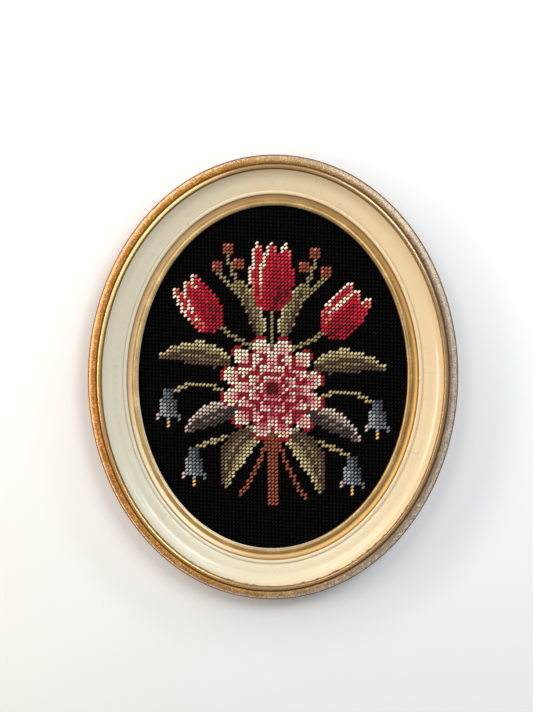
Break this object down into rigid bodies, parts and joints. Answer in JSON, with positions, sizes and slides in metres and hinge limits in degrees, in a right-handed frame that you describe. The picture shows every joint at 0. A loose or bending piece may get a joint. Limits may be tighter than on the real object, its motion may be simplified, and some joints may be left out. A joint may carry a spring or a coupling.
{
  "type": "oval framed needlepoint canvas panel",
  "caption": "Flat oval needlepoint canvas worked in wool tent stitch with a flower bouquet on black, held in a gilt and cream oval moulding.",
  "frame": {"origin": "middle of the oval on the plane of the flat back", "axes": "+Z the way the needlework faces, +Y the top of the picture, +X its right-hand side"},
  "size_m": [0.2576, 0.3096, 0.0199],
  "materials": {
    "wool_canvas": "matt wool tent stitch, black ground with coloured flowers",
    "slip_gilt": "satin gilding over wood, softly worn",
    "cream_paint": "cream eggshell paint, aged, with small flecks and hairline cracks",
    "rim_gilt": "bronze-gold gilding over wood, brushed and scuffed"
  },
  "bodies": {
    "root": {"needlepoint_canvas": "wool_canvas", "gilt_slip": "slip_gilt", "cream_scoop": "cream_paint", "gilt_rim": "rim_gilt"}
  },
  "joints": []
}
